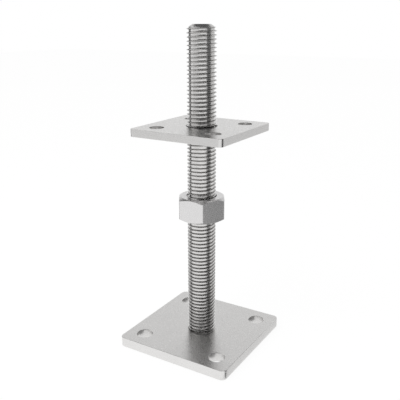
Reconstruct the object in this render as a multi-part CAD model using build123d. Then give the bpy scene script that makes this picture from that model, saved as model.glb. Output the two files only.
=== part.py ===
from build123d import *
import math
import os

# Adjustable post base: a square foot plate is bolted to concrete, a threaded rod stands in it,
# and a square head plate screwed onto the rod carries a timber post. The rod runs on up into a
# hole drilled in the post, and a lock nut is turned up against the head plate to hold its height.
# Millimetres. Z is up along the rod, the plates' edges lie along X and Y, and the origin is the
# centre of the foot plate's underside.

# Foot plate
base_side = 100.0
base_thickness = 8.0
base_corner_radius = 4.5
base_hole_spacing = 70.0
base_hole_diameter = 13.0

# Head plate
head_side = 80.0
head_thickness = 6.0
head_corner_radius = 3.5
head_hole_spacing = 50.0
head_hole_diameter = 11.5
head_top_height = 183.0

# Both plates: the broken edge that runs round them and round their screw holes
plate_edge_break = 0.3
hole_edge_break = 0.2

# Threaded rod, at the outside of its thread
rod_diameter = 23.2
rod_length = 255.0
rod_point_width = 4.6
rod_point_height = 3.4
rod_foot_chamfer = 1.5

# Lock nut
nut_across_flats = 36.0
nut_height = 19.0
nut_bottom_height = 107.7
nut_face_ratio = 0.95
nut_chamfer_angle = 30.0
nut_turn = 1.9

# Fits between the rod and what it passes through
rod_seat_clearance = 0.05
thread_clearance = 0.05
bore_countersink_width = 0.4

# Plug weld that closes the foot plate's bore under the rod
weld_depth = 3.5
weld_side_gap = 0.05

ON_FLOOR = (Align.CENTER, Align.CENTER, Align.MIN)


def corner_places(spacing):
    """The four corners of a square hole pattern."""
    half = spacing / 2
    return [Pos(x, y) for x in (-half, half) for y in (-half, half)]


def drilled_plate(side, thickness, corner_radius, hole_spacing, hole_diameter, bore_diameter):
    """A square plate with rounded corners, four screw holes and a bore for the rod."""
    outline = RectangleRounded(side, side, corner_radius)
    plate = extrude(outline, thickness)
    plate = chamfer(plate.faces().sort_by(Axis.Z)[-1].outer_wire().edges(), plate_edge_break)
    plate = chamfer(plate.faces().sort_by(Axis.Z)[0].outer_wire().edges(), plate_edge_break)

    hole_radius = hole_diameter / 2
    rim = hole_radius + hole_edge_break
    drill = Cylinder(hole_radius, thickness, align=ON_FLOOR)
    drill += Cone(rim, hole_radius, hole_edge_break, align=ON_FLOOR)
    drill += Pos(Z=thickness - hole_edge_break) * Cone(hole_radius, rim, hole_edge_break, align=ON_FLOOR)
    for place in corner_places(hole_spacing):
        plate -= place * drill
    return plate - Cylinder(bore_diameter / 2, thickness, align=ON_FLOOR)


def mouth(bore_radius):
    """The cone that opens a bore at its top face, with that face at Z = 0."""
    wide = bore_radius + bore_countersink_width
    return Pos(Z=-bore_countersink_width) * Cone(bore_radius, wide, bore_countersink_width, align=ON_FLOOR)


def countersunk(piece, bore_radius, bottom, top):
    """Opens the bore of a piece at both of its faces."""
    upper = Pos(Z=top) * mouth(bore_radius)
    lower = Pos(Z=bottom) * Rot(X=180) * mouth(bore_radius)
    return piece - upper - lower


def base_plate():
    """The foot plate, with a plain bore that the rod stands in."""
    bore_diameter = rod_diameter + 2 * rod_seat_clearance
    return drilled_plate(
        base_side, base_thickness, base_corner_radius, base_hole_spacing, base_hole_diameter, bore_diameter
    )


def head_plate():
    """The plate that the post stands on, with its screw thread drawn as a plain bore."""
    bore_diameter = rod_diameter + 2 * thread_clearance
    plate = drilled_plate(
        head_side, head_thickness, head_corner_radius, head_hole_spacing, head_hole_diameter, bore_diameter
    )
    plate = countersunk(plate, bore_diameter / 2, 0, head_thickness)
    return Pos(Z=head_top_height - head_thickness) * plate


def threaded_rod():
    """The rod at its thread's outer diameter, with a small chamfer below and a turned point on top."""
    radius = rod_diameter / 2
    profile = Polyline(
        (0, 0, 0),
        (radius - rod_foot_chamfer, 0, 0),
        (radius, 0, rod_foot_chamfer),
        (radius, 0, rod_length - rod_point_height),
        (radius - rod_point_width, 0, rod_length),
        (0, 0, rod_length),
        close=True,
    )
    return Pos(Z=weld_depth) * revolve(make_face(profile), Axis.Z)


def plug_weld():
    """The weld under the rod's end, dressed flush with the foot plate's underside."""
    radius = rod_diameter / 2 + rod_seat_clearance - weld_side_gap
    return Cylinder(radius, weld_depth, align=ON_FLOOR)


def lock_nut():
    """A hexagon nut, chamfered at both ends, with its bore opened at both faces."""
    half_flats = nut_across_flats / 2
    hexagon = extrude(RegularPolygon(half_flats, 6, major_radius=False), nut_height)

    # The corners are turned off by a blank that is a short cone at each end
    face_radius = nut_face_ratio * half_flats
    corner_radius = half_flats / math.cos(math.pi / 6)
    drop = (corner_radius - face_radius) * math.tan(math.radians(nut_chamfer_angle))
    profile = Polyline(
        (0, 0, 0),
        (face_radius, 0, 0),
        (corner_radius, 0, drop),
        (corner_radius, 0, nut_height - drop),
        (face_radius, 0, nut_height),
        (0, 0, nut_height),
        close=True,
    )
    turned_blank = revolve(make_face(profile), Axis.Z)
    nut = hexagon & turned_blank

    bore_radius = rod_diameter / 2 + thread_clearance
    nut -= Cylinder(bore_radius, nut_height, align=ON_FLOOR)
    nut = countersunk(nut, bore_radius, 0, nut_height)
    return Pos(Z=nut_bottom_height) * Rot(Z=nut_turn) * nut


PIECES = {
    "base_plate": base_plate,
    "threaded_rod": threaded_rod,
    "plug_weld": plug_weld,
    "lock_nut": lock_nut,
    "head_plate": head_plate,
}

os.makedirs("parts", exist_ok=True)
for name, make in PIECES.items():
    export_step(make(), f"parts/{name}.step")
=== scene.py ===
import math

import bpy
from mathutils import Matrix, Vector


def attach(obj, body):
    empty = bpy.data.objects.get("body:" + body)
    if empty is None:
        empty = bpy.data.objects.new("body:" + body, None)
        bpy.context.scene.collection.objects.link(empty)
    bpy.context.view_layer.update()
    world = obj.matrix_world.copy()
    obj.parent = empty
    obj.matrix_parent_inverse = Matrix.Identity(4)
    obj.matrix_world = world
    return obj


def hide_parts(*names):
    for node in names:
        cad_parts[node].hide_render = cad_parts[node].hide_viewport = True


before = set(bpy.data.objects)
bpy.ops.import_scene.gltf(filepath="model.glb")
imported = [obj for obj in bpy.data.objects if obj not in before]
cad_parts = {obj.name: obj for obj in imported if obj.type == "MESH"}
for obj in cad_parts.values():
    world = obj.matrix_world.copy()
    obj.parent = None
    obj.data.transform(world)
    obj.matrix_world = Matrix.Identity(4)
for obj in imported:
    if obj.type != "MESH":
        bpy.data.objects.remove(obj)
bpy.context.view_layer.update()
scene = bpy.context.scene
scene.view_settings.view_transform = "Standard"
MM = 0.001

# Camera. It stands right of the front corner and a little above the head plate, where a camera
# fitted to the plate edges, the holes and the thread in the photograph puts it.
CAMERA_LENS = 51.63
CAMERA_SHIFT = -0.00415
CAMERA_PLACE = (0.22897, -0.37818, 0.26016)
CAMERA_AIM = (0, 0, 0.1226)
camera_data = bpy.data.cameras.new("camera")
camera_data.lens = CAMERA_LENS
camera_data.shift_x = CAMERA_SHIFT
camera = bpy.data.objects.new("camera", camera_data)
camera.location = CAMERA_PLACE
look = Vector(CAMERA_AIM) - camera.location
camera.rotation_euler = look.to_track_quat("-Z", "Y").to_euler()
scene.collection.objects.link(camera)
scene.camera = camera

# Foot plate. Square plate of 8 mm hot-rolled steel, sawn or sheared to size with its corners
# rounded, drilled for four anchors and bored for the rod, then zinc-plated with the rest.
FOOT_SIDE = 100 * MM
FOOT_THICKNESS = 8 * MM
FOOT_CORNER = 4.5 * MM
FOOT_HOLE_SPACING = 70 * MM
FOOT_HOLE_RADIUS = 6.5 * MM
PLATE_EDGE = 0.2 * MM
HOLE_EDGE = 0.2 * MM
SEAT_RADIUS = 11.65 * MM
CORNER_STEPS = 12
EDGE_STEPS = 2
HOLE_SIDES = 64
BORE_SIDES = 96

# Angles in degrees below which edges are shaded smooth. On the plates a wider one would bend the
# shading of their flat faces
PLATE_SMOOTH_BELOW = 10
SMOOTH_BELOW = 28

# How far a drill reaches past the faces that it goes through
REACH = 2 * MM

# What all the zinc has in common: large soft clouds of tone, and how much its roughness varies
# with the grain. The inside of a tapped bore and a thin ring past its mouth are painted dark:
# painted shade
CLOUD_SIZE = 14 * MM
ROUGHNESS_SPREAD = 0.05
BORE_SHADE_COLOUR = "4A4846"

# Sockets of a Mix node for colours, which have the same names as its sockets for numbers
COLOUR_A = 6
COLOUR_B = 7
COLOUR_RESULT = 2


def select_edges(piece, wanted):
    """Goes into edit mode and selects the edges whose middle and direction pass a test."""
    bpy.ops.object.select_all(action="DESELECT")
    piece.select_set(True)
    bpy.context.view_layer.objects.active = piece
    bpy.ops.object.mode_set(mode="EDIT")
    bpy.ops.mesh.select_mode(type="EDGE")
    bpy.ops.mesh.select_all(action="DESELECT")
    bpy.ops.object.mode_set(mode="OBJECT")
    mesh = piece.data
    for edge in mesh.edges:
        a, b = (mesh.vertices[i].co for i in edge.vertices)
        edge.select = wanted((a + b) / 2, (b - a).normalized())
    bpy.ops.object.mode_set(mode="EDIT")


def turned(name, rings, sides, place=(0, 0), turn=0):
    """A round or many-sided solid, extruded up from ring to ring of (height, radius)."""
    bpy.ops.object.select_all(action="DESELECT")
    height, radius = rings[0]
    bpy.ops.mesh.primitive_circle_add(
        vertices=sides, radius=radius, fill_type="NGON",
        location=(place[0], place[1], height), rotation=(0, 0, turn),
    )
    piece = bpy.context.object
    piece.name = name
    bpy.ops.object.transform_apply(location=True, rotation=True, scale=True)
    bpy.ops.object.mode_set(mode="EDIT")
    bpy.ops.mesh.select_mode(type="FACE")
    bpy.ops.mesh.select_all(action="SELECT")
    for next_height, next_radius in rings[1:]:
        rise = next_height - height
        bpy.ops.mesh.extrude_region_move(TRANSFORM_OT_translate={"value": (0, 0, rise)})
        share = next_radius / radius
        bpy.ops.transform.resize(
            value=(share, share, 1), center_override=(place[0], place[1], next_height)
        )
        height, radius = next_height, next_radius
    bpy.ops.mesh.select_all(action="SELECT")
    bpy.ops.mesh.normals_make_consistent(inside=False)
    bpy.ops.object.mode_set(mode="OBJECT")
    return piece


def combine(piece, tool, operation):
    """Cuts a tool out of a piece, or keeps only what lies inside it, and removes the tool."""
    change = piece.modifiers.new("combine", "BOOLEAN")
    change.operation = operation
    change.solver = "MANIFOLD"
    change.object = tool
    bpy.ops.object.select_all(action="DESELECT")
    bpy.context.view_layer.objects.active = piece
    bpy.ops.object.modifier_apply(modifier=change.name)
    bpy.data.objects.remove(tool)


def bored(piece, radius, bottom, top, widening, sides, place=(0, 0)):
    """Drills a hole through a piece, opened by a small cone at both faces."""
    wide = radius + widening
    rings = [
        (bottom - REACH, wide), (bottom, wide), (bottom + widening, radius),
        (top - widening, radius), (top, wide), (top + REACH, wide),
    ]
    combine(piece, turned("drill", rings, sides, place), "DIFFERENCE")


def plate(name, side, bottom, thickness, corner, spacing, hole_radius):
    """A square plate with rounded corners, softened edges and four screw holes."""
    bpy.ops.object.select_all(action="DESELECT")
    bpy.ops.mesh.primitive_cube_add(
        size=1, location=(0, 0, bottom + thickness / 2), scale=(side, side, thickness)
    )
    piece = bpy.context.object
    piece.name = name
    bpy.ops.object.transform_apply(location=True, rotation=True, scale=True)
    select_edges(piece, lambda middle, way: abs(way.z) > 0.9)
    bpy.ops.mesh.bevel(offset=corner, segments=CORNER_STEPS, affect="EDGES")
    bpy.ops.object.mode_set(mode="OBJECT")
    select_edges(piece, lambda middle, way: abs(way.z) < 0.1)
    bpy.ops.mesh.bevel(offset=PLATE_EDGE, segments=EDGE_STEPS, affect="EDGES")
    bpy.ops.object.mode_set(mode="OBJECT")
    half = spacing / 2
    for x in (-half, half):
        for y in (-half, half):
            bored(piece, hole_radius, bottom, bottom + thickness, HOLE_EDGE, HOLE_SIDES, (x, y))
    return piece


def finished(piece, body, node, material, smooth_below=SMOOTH_BELOW):
    """Smooths a piece's curved faces, gives it a material and puts it in its CAD node's place."""
    bpy.ops.object.select_all(action="DESELECT")
    piece.select_set(True)
    bpy.context.view_layer.objects.active = piece
    bpy.ops.object.shade_smooth_by_angle(angle=math.radians(smooth_below))
    piece.data.materials.clear()
    piece.data.materials.append(material)
    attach(piece, body)
    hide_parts(node)


def linear(code):
    """An sRGB hex colour as the linear colour that a shader takes."""
    shares = [int(code[i:i + 2], 16) / 255 for i in (0, 2, 4)]
    return [s / 12.92 if s <= 0.04045 else ((s + 0.055) / 1.055) ** 2.4 for s in shares] + [1]


def add_node(tree, kind, links=None, inputs=None, **settings):
    """Adds a node with its settings and fixed inputs, and links the sockets that are given."""
    node = tree.nodes.new(kind)
    for name, value in settings.items():
        setattr(node, name, value)
    for socket, value in (inputs or {}).items():
        node.inputs[socket].default_value = value
    for socket, source in (links or {}).items():
        tree.links.new(source, node.inputs[socket])
    return node


def from_axis(tree):
    """The distance of a point from the rod's axis, in a material."""
    across = add_node(
        tree, "ShaderNodeVectorMath",
        {0: add_node(tree, "ShaderNodeTexCoord").outputs["Object"]}, {1: (1, 1, 0)},
        operation="MULTIPLY",
    ).outputs["Vector"]
    return add_node(
        tree, "ShaderNodeVectorMath", {0: across}, operation="LENGTH"
    ).outputs["Value"]


def zinc(name, bright, dull, roughness, grain, stretch, grain_height, bore_shade_radius=0):
    """Zinc plating that shows the steel's grain, with painted shade inside a tapped bore, out to
    the radius given last. Lengths in mm.
    """
    material = bpy.data.materials.new(name)
    material.use_nodes = True
    tree = material.node_tree
    shader = tree.nodes["Principled BSDF"]
    shader.inputs["Metallic"].default_value = 1
    place = add_node(tree, "ShaderNodeTexCoord").outputs["Object"]
    along = add_node(
        tree, "ShaderNodeMapping", {"Vector": place}, {"Scale": stretch}
    ).outputs["Vector"]
    grains = add_node(
        tree, "ShaderNodeTexNoise", {"Vector": along},
        {"Scale": 1 / (grain * MM), "Detail": 4, "Roughness": 0.6},
    ).outputs["Fac"]
    clouds = add_node(
        tree, "ShaderNodeTexNoise", {"Vector": place},
        {"Scale": 1 / CLOUD_SIZE, "Detail": 3, "Roughness": 0.5},
    ).outputs["Fac"]
    colour = add_node(
        tree, "ShaderNodeMix", {"Factor": clouds},
        {COLOUR_A: linear(bright), COLOUR_B: linear(dull)}, data_type="RGBA",
    ).outputs[COLOUR_RESULT]
    # Painted shade: inside the given radius from the axis the colour is painted dark
    if bore_shade_radius:
        bore_shade = add_node(
            tree, "ShaderNodeMath", {0: from_axis(tree)}, {1: bore_shade_radius * MM},
            operation="LESS_THAN",
        ).outputs["Value"]
        colour = add_node(
            tree, "ShaderNodeMix", {"Factor": bore_shade, COLOUR_A: colour},
            {COLOUR_B: linear(BORE_SHADE_COLOUR)}, data_type="RGBA",
        ).outputs[COLOUR_RESULT]
    tree.links.new(colour, shader.inputs["Base Color"])
    low, high = roughness - ROUGHNESS_SPREAD, roughness + ROUGHNESS_SPREAD
    matt = add_node(
        tree, "ShaderNodeMapRange", {"Value": grains},
        {"From Min": 0.3, "From Max": 0.7, "To Min": low, "To Max": high},
    ).outputs["Result"]
    tree.links.new(matt, shader.inputs["Roughness"])
    bump = add_node(
        tree, "ShaderNodeBump", {"Height": grains},
        {"Strength": 1.0, "Distance": grain_height * MM},
    ).outputs["Normal"]
    tree.links.new(bump, shader.inputs["Normal"])
    return material


# Satin zinc on rolled plate: pale neutral grey, soft reflections, a faint grain along the rolling
plate_zinc = zinc(
    "satin_zinc_on_rolled_plate", "E2E1E0", "DBDAD9", 0.302, 0.9, (0.35, 1, 1), 0.0008
)

foot = plate(
    "foot_plate", FOOT_SIDE, 0, FOOT_THICKNESS, FOOT_CORNER, FOOT_HOLE_SPACING, FOOT_HOLE_RADIUS
)
seat = turned(
    "seat", [(-REACH, SEAT_RADIUS), (FOOT_THICKNESS + REACH, SEAT_RADIUS)], BORE_SIDES
)
combine(foot, seat, "DIFFERENCE")
finished(foot, "base", "base_plate", plate_zinc, PLATE_SMOOTH_BELOW)

# Threaded rod. M24 studding with a 3 mm pitch, rolled into bright steel with narrow ridges and a
# wide root, as measured in the photograph. Cut to length, with a short turned point on top and a
# chamfered foot that stands in the foot plate's bore and is welded from below.
PITCH = 3 * MM
CREST_RADIUS = 11.6 * MM
ROOT_RADIUS = 9.75 * MM
ROD_BOTTOM = 3.5 * MM
ROD_TOP = 258.5 * MM
POINT_RADIUS = 7.0 * MM
POINT_HEIGHT = 1.9 * MM
THREAD_END = 2.7 * MM
FOOT_CHAMFER = 1.5 * MM
CREST_FLAT = PITCH / 12
ROOT_FLAT = PITCH / 2
CREST_CURL = 0.06 * MM
ROOT_CURL = 0.12 * MM

# The thread is wound from two turns below the rod to above its top, in the phase that it has in the
# photograph, and a blank of the rod's outline cuts it to length. 96 steps a turn make that cut fail
THREAD_START = 2.38 * MM - 2 * PITCH
FACING = math.radians(-58.8)
TURNS = 92
STEPS_PER_TURN = 64
SPARE_LENGTH = 1 * MM
MERGE_DISTANCE = 0.002 * MM
BLANK_SLACK = 0.01 * MM
BLANK_SIDES = 128

# Radii at which the bright root ends and the painted shade on the flanks begins, and at which
# that gives way to the painted highlight on the crests
ROOT_EDGE_RADIUS = 10.0 * MM
FLANK_RADIUS = 10.8 * MM
CREST_HIGHLIGHT_RADIUS = 10.9 * MM
CREST_EDGE_RADIUS = 11.4 * MM

flank = (PITCH - CREST_FLAT - ROOT_FLAT) / 2
bpy.ops.object.select_all(action="DESELECT")
bpy.ops.mesh.primitive_plane_add(
    size=PITCH,
    location=(ROOT_RADIUS * math.cos(FACING), ROOT_RADIUS * math.sin(FACING), THREAD_START),
)
rod = bpy.context.object
rod.name = "threaded_rod_m24"
bpy.ops.object.transform_apply(location=True, rotation=True, scale=True)
bpy.ops.object.mode_set(mode="EDIT")
bpy.ops.mesh.select_mode(type="VERT")
bpy.ops.mesh.select_all(action="SELECT")
bpy.ops.mesh.merge(type="CENTER")
for outwards, upwards in (
    (ROOT_CURL, ROOT_FLAT / 2),
    (CREST_RADIUS - ROOT_RADIUS - ROOT_CURL - CREST_CURL, flank),
    (CREST_CURL, CREST_FLAT / 2),
    (-CREST_CURL, CREST_FLAT / 2),
    (ROOT_RADIUS + ROOT_CURL + CREST_CURL - CREST_RADIUS, flank),
    (-ROOT_CURL, ROOT_FLAT / 2),
):
    bpy.ops.mesh.extrude_vertices_move(TRANSFORM_OT_translate={
        "value": (outwards * math.cos(FACING), outwards * math.sin(FACING), upwards)
    })
bpy.ops.object.mode_set(mode="OBJECT")
wind = rod.modifiers.new("wind", "SCREW")
wind.axis = "Z"
wind.angle = 2 * math.pi
wind.screw_offset = PITCH
wind.iterations = TURNS
wind.steps = STEPS_PER_TURN
wind.render_steps = STEPS_PER_TURN
bpy.ops.object.modifier_apply(modifier=wind.name)
bpy.ops.object.mode_set(mode="EDIT")
bpy.ops.mesh.select_all(action="SELECT")
bpy.ops.mesh.remove_doubles(threshold=MERGE_DISTANCE)
bpy.ops.mesh.bisect(
    plane_co=(0, 0, ROD_BOTTOM - SPARE_LENGTH), plane_no=(0, 0, 1),
    clear_inner=True, use_fill=True,
)
bpy.ops.mesh.select_all(action="SELECT")
bpy.ops.mesh.bisect(
    plane_co=(0, 0, ROD_TOP + SPARE_LENGTH), plane_no=(0, 0, 1),
    clear_outer=True, use_fill=True,
)
bpy.ops.mesh.select_all(action="SELECT")
bpy.ops.mesh.normals_make_consistent(inside=False)
bpy.ops.object.mode_set(mode="OBJECT")
blank = turned(
    "blank",
    [
        (ROD_BOTTOM, CREST_RADIUS - FOOT_CHAMFER),
        (ROD_BOTTOM + FOOT_CHAMFER, CREST_RADIUS + BLANK_SLACK),
        (ROD_TOP - THREAD_END, CREST_RADIUS + BLANK_SLACK),
        (ROD_TOP - POINT_HEIGHT, ROOT_RADIUS),
        (ROD_TOP, POINT_RADIUS),
    ],
    BLANK_SIDES,
)
combine(rod, blank, "INTERSECT")

# Bright zinc on rolled thread with a bright root. The tones are painted by radius: the flanks are
# painted dark, a painted shade for the dark thread lines, and the crests are painted bright, a
# painted highlight
rod_zinc = zinc("bright_zinc_thread_with_painted_shade_and_highlight", "E0DFDE", "D8D7D6", 0.26, 8, (1, 1, 1), 0)
tree = rod_zinc.node_tree
shader = tree.nodes["Principled BSDF"]
colour = shader.inputs["Base Color"].links[0].from_socket
radius = from_axis(tree)
# Painted shade on the flanks, then a painted highlight on the crests
for inner, outer, tone in (
    (ROOT_EDGE_RADIUS, FLANK_RADIUS, "8A8988"),
    (CREST_HIGHLIGHT_RADIUS, CREST_EDGE_RADIUS, "F4F3F2"),
):
    share = add_node(
        tree, "ShaderNodeMapRange", {"Value": radius},
        {"From Min": inner, "From Max": outer}, interpolation_type="SMOOTHSTEP",
    ).outputs["Result"]
    colour = add_node(
        tree, "ShaderNodeMix", {"Factor": share, COLOUR_A: colour}, {COLOUR_B: linear(tone)},
        data_type="RGBA",
    ).outputs[COLOUR_RESULT]
tree.links.new(colour, shader.inputs["Base Color"])
finished(rod, "base", "threaded_rod", rod_zinc)

# Plug weld. It fills the foot plate's bore under the rod's end and is ground flush with the
# underside, so only a disc with grinding marks and a fine seam round it shows, from below.
WELD_RADIUS = 11.6 * MM
WELD_SEAM = 0.25 * MM
weld = turned(
    "ground_plug_weld",
    [(0, WELD_RADIUS - WELD_SEAM), (WELD_SEAM, WELD_RADIUS), (ROD_BOTTOM, WELD_RADIUS)],
    BORE_SIDES,
)

# Zinc on ground weld: duller than the plate, with grinding marks that all run one way
weld_zinc = zinc("zinc_on_ground_weld", "C9CAC9", "B4B5B5", 0.38, 0.5, (0.12, 1, 1), 0.006)
finished(weld, "base", "plug_weld", weld_zinc)

# Lock nut. Standard M24 hexagon nut, forged from steel, 36 mm across flats and 19 mm high, with
# its corners turned off at 30 degrees at both ends and its bore opened at both faces.
NUT_FLATS = 36 * MM
NUT_HEIGHT = 19 * MM
NUT_BOTTOM = 107.7 * MM
NUT_FACE_RADIUS = 0.95 * NUT_FLATS / 2
NUT_CHAMFER_ANGLE = math.radians(30)
NUT_CORNER_ROUNDING = 0.8 * MM
NUT_TURN = math.radians(1.9)
NUT_BLANK_SIDES = 192
BORE_RADIUS = 11.65 * MM
BORE_WIDENING = 0.4 * MM
corner_radius = NUT_FLATS / 2 / math.cos(math.pi / 6)
drop = (corner_radius - NUT_FACE_RADIUS) * math.tan(NUT_CHAMFER_ANGLE)
nut_top = NUT_BOTTOM + NUT_HEIGHT
nut = turned(
    "hexagon_lock_nut", [(NUT_BOTTOM, corner_radius), (nut_top, corner_radius)], 6,
    turn=NUT_TURN - math.pi / 6,
)
select_edges(nut, lambda middle, way: abs(way.z) > 0.9)
bpy.ops.mesh.bevel(offset=NUT_CORNER_ROUNDING, segments=5, affect="EDGES")
bpy.ops.object.mode_set(mode="OBJECT")
blank = turned(
    "blank",
    [
        (NUT_BOTTOM, NUT_FACE_RADIUS), (NUT_BOTTOM + drop, corner_radius),
        (nut_top - drop, corner_radius), (nut_top, NUT_FACE_RADIUS),
    ],
    NUT_BLANK_SIDES,
)
combine(nut, blank, "INTERSECT")
bored(nut, BORE_RADIUS, NUT_BOTTOM, nut_top, BORE_WIDENING, BORE_SIDES)

# Satin zinc on forged steel: even and a little brighter than the plates, with painted shade
# in the bore out to 12.3 mm from the axis
nut_zinc = zinc(
    "satin_zinc_on_forged_steel", "E0DFDF", "DAD9D9", 0.27, 0.6, (1, 1, 1), 0.0006, 12.3
)
finished(nut, "nut", "lock_nut", nut_zinc)

# Head plate. The smaller square plate that carries the post, 6 mm thick, with four screw holes
# and a tapped hole in its middle that is opened at both faces.
HEAD_SIDE = 80 * MM
HEAD_BOTTOM = 177 * MM
HEAD_THICKNESS = 6 * MM
HEAD_CORNER = 3.5 * MM
HEAD_HOLE_SPACING = 50 * MM
HEAD_HOLE_RADIUS = 5.75 * MM
head = plate(
    "head_plate_square", HEAD_SIDE, HEAD_BOTTOM, HEAD_THICKNESS, HEAD_CORNER,
    HEAD_HOLE_SPACING, HEAD_HOLE_RADIUS,
)
bored(
    head, BORE_RADIUS, HEAD_BOTTOM, HEAD_BOTTOM + HEAD_THICKNESS, BORE_WIDENING, BORE_SIDES
)

# The same satin zinc on rolled plate, a hair smoother, with painted shade in the tapped bore
# out to 12.4 mm from the axis
tapped_plate_zinc = zinc(
    "satin_zinc_on_tapped_plate", "E2E1E0", "DBDAD9", 0.30, 0.9, (0.35, 1, 1), 0.0008, 12.4
)
finished(head, "head", "head_plate", tapped_plate_zinc, PLATE_SMOOTH_BELOW)

# Studio. A white floor and surroundings, a large soft lamp at the left, and dark, grey and white
# boards and cards that give the bare metal its contrast. None of them is part of the object.
FLOOR_SIZE = 8
FLOOR_DROP = 0.2 * MM
FLOOR_GLOW = 0.93
bpy.ops.object.select_all(action="DESELECT")
bpy.ops.mesh.primitive_plane_add(size=FLOOR_SIZE, location=(0, 0, -FLOOR_DROP))
floor = bpy.context.object
floor.name = "floor"


def looked_at(tree):
    """1 for the rays that see a surface, straight or in metal, and 0 for those that light it."""
    rays = add_node(tree, "ShaderNodeLightPath").outputs
    seen = add_node(
        tree, "ShaderNodeMath", {0: rays["Is Camera Ray"], 1: rays["Is Glossy Ray"]},
        operation="MAXIMUM",
    ).outputs[0]
    return add_node(
        tree, "ShaderNodeMath", {0: seen, 1: rays["Is Transmission Ray"]}, operation="MAXIMUM"
    ).outputs[0]


# White floor: matt paint that glows for the rays that see it, so that it stays nearly pure white
white = bpy.data.materials.new("white_studio_floor")
white.use_nodes = True
tree = white.node_tree
paint = tree.nodes["Principled BSDF"]
paint.inputs["Base Color"].default_value = linear("F2F2F2")
paint.inputs["Roughness"].default_value = 0.9
share = add_node(
    tree, "ShaderNodeMath", {0: looked_at(tree)}, {1: FLOOR_GLOW}, operation="MULTIPLY"
).outputs[0]
glow = add_node(tree, "ShaderNodeEmission", inputs={"Color": (1, 1, 1, 1), "Strength": 1.0})
surface = add_node(
    tree, "ShaderNodeMixShader", {"Fac": share, 1: paint.outputs[0], 2: glow.outputs[0]}
).outputs[0]
tree.links.new(surface, tree.nodes["Material Output"].inputs["Surface"])
floor.data.materials.append(white)

# White surroundings: pure white where they are seen, and a little less as light
world = bpy.data.worlds.new("studio")
world.use_nodes = True
scene.world = world
tree = world.node_tree
level = add_node(
    tree, "ShaderNodeMapRange", {"Value": looked_at(tree)}, {"To Min": 0.95, "To Max": 1.0}
).outputs["Result"]
tree.links.new(level, tree.nodes["Background"].inputs["Strength"])
tree.nodes["Background"].inputs["Color"].default_value = (1, 1, 1, 1)

# Boards and cards. Only reflections see them. A level of 0 is black and 1 is white
CAMERA_SIDE = math.atan2(camera.location.y, camera.location.x)


def board(name, degrees_right, distance, width, height, middle, level):
    """A board facing the object, some degrees right of the camera. Its middle is a height."""
    angle = CAMERA_SIDE + math.radians(degrees_right)
    bpy.ops.object.select_all(action="DESELECT")
    bpy.ops.mesh.primitive_plane_add(
        size=1, location=(distance * math.cos(angle), distance * math.sin(angle), middle),
        rotation=(math.pi / 2, 0, angle + math.pi / 2),
    )
    piece = bpy.context.object
    piece.name = name
    piece.scale = (width, height, 1)
    piece.visible_camera = False
    piece.visible_shadow = False
    piece.visible_diffuse = False
    material = bpy.data.materials.new(name)
    material.use_nodes = True
    shader = material.node_tree.nodes["Principled BSDF"]
    shader.inputs["Base Color"].default_value = (0, 0, 0, 1)
    shader.inputs["Specular IOR Level"].default_value = 0
    shader.inputs["Emission Color"].default_value = (1, 1, 1, 1)
    shader.inputs["Emission Strength"].default_value = level
    piece.data.materials.append(material)


board("dark_board_right", 68.5, 0.27, 0.24, 0.12, 0.13, 0.06)
board("dark_board_right_high", 66.5, 0.27, 0.225, 0.71, 0.545, 0.16)
board("dark_board_right_low", 67, 0.27, 0.22, 0.07, 0.035, 0.37)
board("dark_board_left_back", -127, 0.30, 0.18, 0.9, 0.45, 0.07)
board("dark_board_front", 0, 0.80, 1.20, 0.33, 0.475, 0.0)
board("grey_board_back_low", 180, 2.0, 3.6, 0.75, 0.375, 0.94)
board("grey_board_back_high", 180, 2.0, 3.6, 1.75, 1.625, 0.80)
board("grey_board_left", -55, 0.45, 0.56, 0.26, 0.19, 0.73)
board("grey_board_right_back", 117, 0.45, 0.50, 0.26, 0.19, 0.69)


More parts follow.
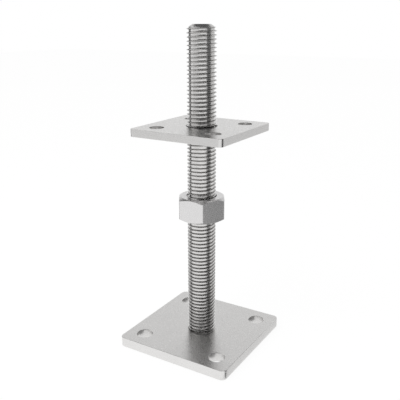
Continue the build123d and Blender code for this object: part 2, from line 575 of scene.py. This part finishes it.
def card(name, x, y, length, width, turn, level, height=0.3):
    """A card that lies flat, its length along turn degrees from X. Lengths and places in mm."""
    board(name, 0, 0, length * MM, width * MM, height * MM, level)
    piece = bpy.context.object
    piece.location.x = x * MM
    piece.location.y = y * MM
    piece.rotation_euler = (0, 0, math.radians(turn))


card("dark_card_right", 166, 24, 204, 105, 8.2, 0.07)
# A grey card on the floor beside the foot plate's right side, seen only in reflections: painted
# shadow of the plate on the floor
card("floor_shadow_card_right", 58, 0, 15, 130, 0, 0.80)
card("dark_card_left_back", -186, -22, 225, 62, 6.8, 0.10)
card("white_card_left", 0, -65, 130, 30, 0, 1.04)
card("dark_board_overhead", 190, -147, 1950, 1900, -58.8, 0.10, 950)

# A small dark card on the floor under the right side of each screw hole, where the plate shades
# the floor, for the dark patch at its left: painted shadow, seen only in reflections
for x in (-35, 35):
    for y in (-35, 35):
        card("floor_shadow_card_under_hole", x + 4.1, y + 1.6, 4.6, 12, 31.2, 0.26)

# A black card on the floor that comes to a point at the foot plate, for the fine dark line down its
# corner: painted contact shadow, seen only in reflections
card("contact_shadow_card_corner", 57.0, -43.9, 14, 15, 25, 0.0)
select_edges(bpy.context.object, lambda middle, way: middle.x < -0.4)
bpy.ops.mesh.merge(type="CENTER")
bpy.ops.object.mode_set(mode="OBJECT")

# Lamp, a soft square one to the left of the camera. Reflections don't show it
LAMP_DEGREES_RIGHT = -50
LAMP_SIDE = 0.9
LAMP_POWER = 9
LAMP_DISTANCE = 0.9
LAMP_HEIGHT = 1.1
LAMP_AIM = (0, 0, 0.12)
lamp_data = bpy.data.lights.new("softbox", "AREA")
lamp_data.shape = "RECTANGLE"
lamp_data.size = LAMP_SIDE
lamp_data.size_y = LAMP_SIDE
lamp_data.energy = LAMP_POWER
lamp = bpy.data.objects.new("softbox", lamp_data)
angle = CAMERA_SIDE + math.radians(LAMP_DEGREES_RIGHT)
lamp.location = (LAMP_DISTANCE * math.cos(angle), LAMP_DISTANCE * math.sin(angle), LAMP_HEIGHT)
look = Vector(LAMP_AIM) - lamp.location
lamp.rotation_euler = look.to_track_quat("-Z", "Y").to_euler()
lamp.visible_glossy = False
scene.collection.objects.link(lamp)
